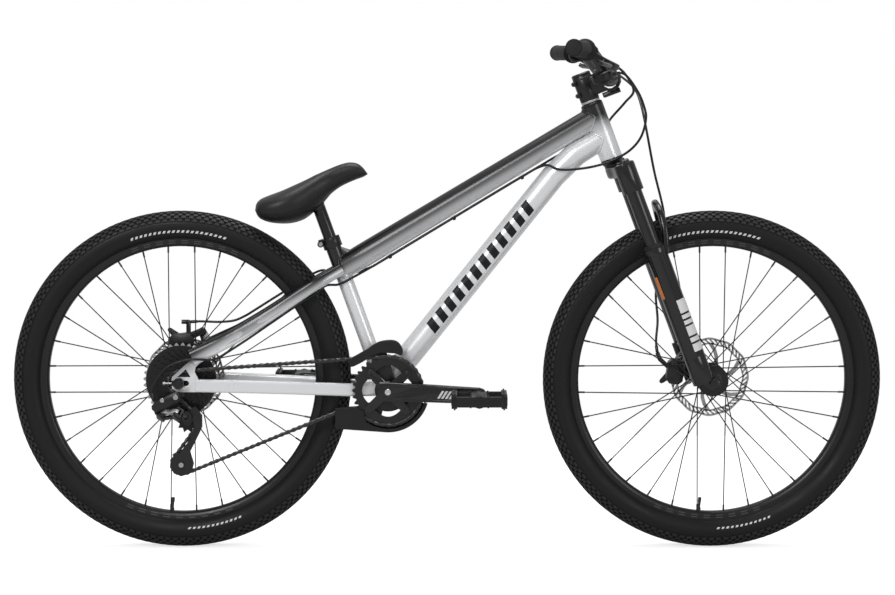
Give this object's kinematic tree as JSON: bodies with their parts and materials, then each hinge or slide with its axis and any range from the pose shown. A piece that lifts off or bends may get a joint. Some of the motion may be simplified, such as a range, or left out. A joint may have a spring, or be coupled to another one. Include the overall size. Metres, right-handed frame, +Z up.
{
  "type": "dirt jump bike",
  "caption": "Hardtail dirt jump bicycle with suspension fork, disc brakes, single chainring with guide, rear derailleur, low saddle, riser handlebar and platform pedals.",
  "frame": {"origin": "on the floor, midway between the two axles, in the bicycle's middle plane", "axes": "+X forward, +Y to the rider's left, +Z up; the chain side is at -Y"},
  "size_m": [1.736, 0.7144, 1.0093],
  "materials": {
    "silver_paint": "metallic gloss",
    "black_metal": "satin black",
    "silver_metal": "satin",
    "steel": "brushed",
    "black_plastic": "matte",
    "black_rubber": "matte",
    "tyre_rubber": "matte",
    "seat_cover": "soft sheen"
  },
  "bodies": {
    "chassis": {"frame": "silver_paint", "headset_upper_cup": "black_metal", "headset_lower_cup": "black_metal", "bottom_bracket": "black_metal", "seat_clamp": "black_metal", "derailleur_hanger": "silver_metal", "chainguide_backplate": "black_metal", "chainguide_upper": "black_plastic", "chainguide_lower": "black_plastic", "rear_axle": "steel", "rear_caliper": "black_metal", "frame_cables": "black_rubber", "chain": "steel"},
    "steered": {"fork_crown": "black_metal", "stem": "black_metal", "stem_faceplate": "black_metal", "top_cap": "black_metal", "headset_spacer": "silver_metal", "handlebar": "black_metal", "grip_left": "black_rubber", "grip_right": "black_rubber", "brake_mount_left": "black_metal", "brake_mount_right": "black_metal", "shifter": "black_plastic", "bar_cables": "black_rubber", "front_brake_cable": "black_rubber"},
    "fork_slider": {"fork_lowers": "black_metal", "front_axle": "steel", "front_caliper": "black_metal"},
    "front_wheel": {"front_tyre": "tyre_rubber", "front_rim": "black_metal", "front_hub": "black_metal", "front_rotor": "steel"},
    "rear_wheel": {"rear_tyre": "tyre_rubber", "rear_rim": "black_metal", "rear_hub": "black_metal", "rear_rotor": "steel"},
    "crankset": {"crank_arm_right": "black_metal", "crank_arm_left": "black_metal", "chainring": "black_metal"},
    "freewheel_cogs": {"cassette": "steel"},
    "right_pedal": {"pedal_right": "black_plastic"},
    "left_pedal": {"pedal_left": "black_plastic"},
    "right_brake_lever": {"brake_lever_right": "black_metal"},
    "left_brake_lever": {"brake_lever_left": "black_metal"},
    "rear_brake_arm": {"rear_caliper_arm": "black_metal"},
    "rear_pad": {"rear_brake_pad": "steel"},
    "front_brake_arm": {"front_caliper_arm": "black_metal"},
    "front_pad": {"front_brake_pad": "steel"},
    "thumb_lever": {"shifter_thumb_lever": "black_plastic"},
    "release_lever": {"shifter_release_lever": "black_plastic"},
    "frame_knuckle": {"derailleur_frame_knuckle": "black_metal"},
    "outer_link": {"derailleur_outer_link": "silver_metal"},
    "inner_link": {"derailleur_inner_link": "black_metal"},
    "cage_knuckle": {"derailleur_cage_knuckle": "black_metal"},
    "cage": {"derailleur_cage": "black_metal"},
    "upper_pulley": {"guide_pulley": "black_plastic"},
    "lower_pulley": {"tension_pulley": "black_plastic"},
    "seat_post": {"seatpost": "black_metal"},
    "seat": {"saddle": "seat_cover"}
  },
  "joints": [
    {"name": "steering", "type": "hinge", "parent": "chassis", "child": "steered", "pos_m": [0.49722, 0, 0.32574], "axis": [-0.3502, 0, 0.9367], "range_deg": [-80, 80], "deforming": ["bar_cables", "frame_cables"]},
    {"name": "fork_travel", "type": "slide", "parent": "steered", "child": "fork_slider", "axis": [-0.3502, 0, 0.9367], "range_m": [0, 0.1], "stiffness_N_per_m": 6000, "springref_m": -0.025, "deforming": ["front_brake_cable"]},
    {"name": "front_wheel_spin", "type": "hinge", "parent": "fork_slider", "child": "front_wheel", "pos_m": [0.53, 0, 0.338], "axis": [0, 1, 0], "continuous": true},
    {"name": "rear_wheel_spin", "type": "hinge", "parent": "chassis", "child": "rear_wheel", "pos_m": [-0.53, 0, 0.338], "axis": [0, 1, 0], "continuous": true},
    {"name": "crank_spin", "type": "hinge", "parent": "chassis", "child": "crankset", "pos_m": [-0.117, 0, 0.32], "axis": [0, 1, 0], "continuous": true, "deforming": ["chain"]},
    {"name": "cassette_spin", "type": "hinge", "parent": "chassis", "child": "freewheel_cogs", "pos_m": [-0.53, 0, 0.338], "axis": [0, 1, 0], "continuous": true, "deforming": ["chain"]},
    {"name": "pedal_right_spin", "type": "hinge", "parent": "crankset", "child": "right_pedal", "pos_m": [0.06289, -0.0863, 0.31372], "axis": [0, 1, 0], "continuous": true},
    {"name": "pedal_left_spin", "type": "hinge", "parent": "crankset", "child": "left_pedal", "pos_m": [-0.29689, 0.0863, 0.32628], "axis": [0, 1, 0], "continuous": true},
    {"name": "brake_lever_right_pull", "type": "hinge", "parent": "steered", "child": "right_brake_lever", "pos_m": [0.30317, -0.21361, 0.96697], "axis": [-0.4903, 0.0933, -0.8666], "range_deg": [0, 13], "stiffness_Nm_per_rad": 1.5, "springref_deg": -5.73},
    {"name": "brake_lever_left_pull", "type": "hinge", "parent": "steered", "child": "left_brake_lever", "pos_m": [0.30317, 0.21361, 0.96697], "axis": [0.4903, 0.0933, 0.8666], "range_deg": [0, 13], "stiffness_Nm_per_rad": 1.5, "springref_deg": -5.73},
    {"name": "rear_brake_arm_swing", "type": "hinge", "parent": "chassis", "child": "rear_brake_arm", "pos_m": [-0.53752, 0.069, 0.40759], "axis": [0, 1, 0], "range_deg": [0, 20]},
    {"name": "rear_pad_travel", "type": "slide", "parent": "chassis", "child": "rear_pad", "axis": [0, -1, 0], "range_m": [0, 0.0004]},
    {"name": "front_brake_arm_swing", "type": "hinge", "parent": "fork_slider", "child": "front_brake_arm", "pos_m": [0.46087, 0.055, 0.349], "axis": [0, 1, 0], "range_deg": [0, 20]},
    {"name": "front_pad_travel", "type": "slide", "parent": "fork_slider", "child": "front_pad", "axis": [0, -1, 0], "range_m": [0, 0.0004]},
    {"name": "thumb_lever_push", "type": "hinge", "parent": "steered", "child": "thumb_lever", "pos_m": [0.29363, -0.17519, 0.95011], "axis": [0.3502, 0, -0.9367], "range_deg": [0, 30], "stiffness_Nm_per_rad": 0.2, "springref_deg": -17.19},
    {"name": "release_lever_pull", "type": "hinge", "parent": "steered", "child": "release_lever", "pos_m": [0.30154, -0.17519, 0.92895], "axis": [0.3502, 0, -0.9367], "range_deg": [0, 15], "stiffness_Nm_per_rad": 0.2, "springref_deg": -17.19},
    {"name": "derailleur_mount_pivot", "type": "hinge", "parent": "chassis", "child": "frame_knuckle", "pos_m": [-0.536, -0.082, 0.311], "axis": [0, 1, 0], "range_deg": [0, 20], "stiffness_Nm_per_rad": 4, "springref_deg": -17.19, "deforming": ["chain", "frame_cables"]},
    {"name": "derailleur_shift_swing", "type": "hinge", "parent": "frame_knuckle", "child": "outer_link", "pos_m": [-0.55969, -0.08591, 0.28062], "axis": [0.3593, 0.585, 0.7271], "range_deg": [0, 72], "stiffness_Nm_per_rad": 1, "springref_deg": -28.65, "deforming": ["chain", "frame_cables"]},
    {"name": "inner_link_swing", "type": "hinge", "parent": "frame_knuckle", "child": "inner_link", "pos_m": [-0.55969, -0.07344, 0.27059], "axis": [0.3593, 0.585, 0.7271], "range_deg": [0, 72], "deforming": ["chain", "frame_cables"]},
    {"name": "cage_knuckle_swing", "type": "hinge", "parent": "outer_link", "child": "cage_knuckle", "pos_m": [-0.531, -0.11023, 0.28602], "axis": [0.3593, 0.585, 0.7271], "range_deg": [-72, 0], "deforming": ["chain", "frame_cables"]},
    {"name": "cage_tension_pivot", "type": "hinge", "parent": "cage_knuckle", "child": "cage", "pos_m": [-0.515, -0.075, 0.272], "axis": [0, 1, 0], "range_deg": [-20, 45], "stiffness_Nm_per_rad": 1.5, "deforming": ["chain"]},
    {"name": "guide_pulley_spin", "type": "hinge", "parent": "cage", "child": "upper_pulley", "pos_m": [-0.514, -0.0618, 0.261], "axis": [0, 1, 0], "continuous": true, "deforming": ["chain"]},
    {"name": "tension_pulley_spin", "type": "hinge", "parent": "cage", "child": "lower_pulley", "pos_m": [-0.5264, -0.0618, 0.1755], "axis": [0, 1, 0], "continuous": true, "deforming": ["chain"]},
    {"name": "seatpost_height", "type": "slide", "parent": "chassis", "child": "seat_post", "axis": [-0.3387, 0, 0.9409], "range_m": [0, 0.09]},
    {"name": "saddle_tilt", "type": "hinge", "parent": "seat_post", "child": "seat", "pos_m": [-0.2588, 0, 0.6917], "axis": [0, 1, 0], "range_deg": [0, 10]}
  ],
  "couplings": [
    {"joint": "cassette_spin", "follows": "crank_spin", "ratio": 3.0909},
    {"joint": "guide_pulley_spin", "follows": "crank_spin", "ratio": -3.4},
    {"joint": "tension_pulley_spin", "follows": "crank_spin", "ratio": 3.4},
    {"joint": "rear_brake_arm_swing", "follows": "brake_lever_right_pull", "ratio": 1.5},
    {"joint": "rear_pad_travel", "follows": "brake_lever_right_pull", "m_per_rad": 0.0017},
    {"joint": "front_brake_arm_swing", "follows": "brake_lever_left_pull", "ratio": 1.5},
    {"joint": "front_pad_travel", "follows": "brake_lever_left_pull", "m_per_rad": 0.0017},
    {"joint": "inner_link_swing", "follows": "derailleur_shift_swing", "ratio": 1},
    {"joint": "cage_knuckle_swing", "follows": "derailleur_shift_swing", "ratio": -1}
  ]
}
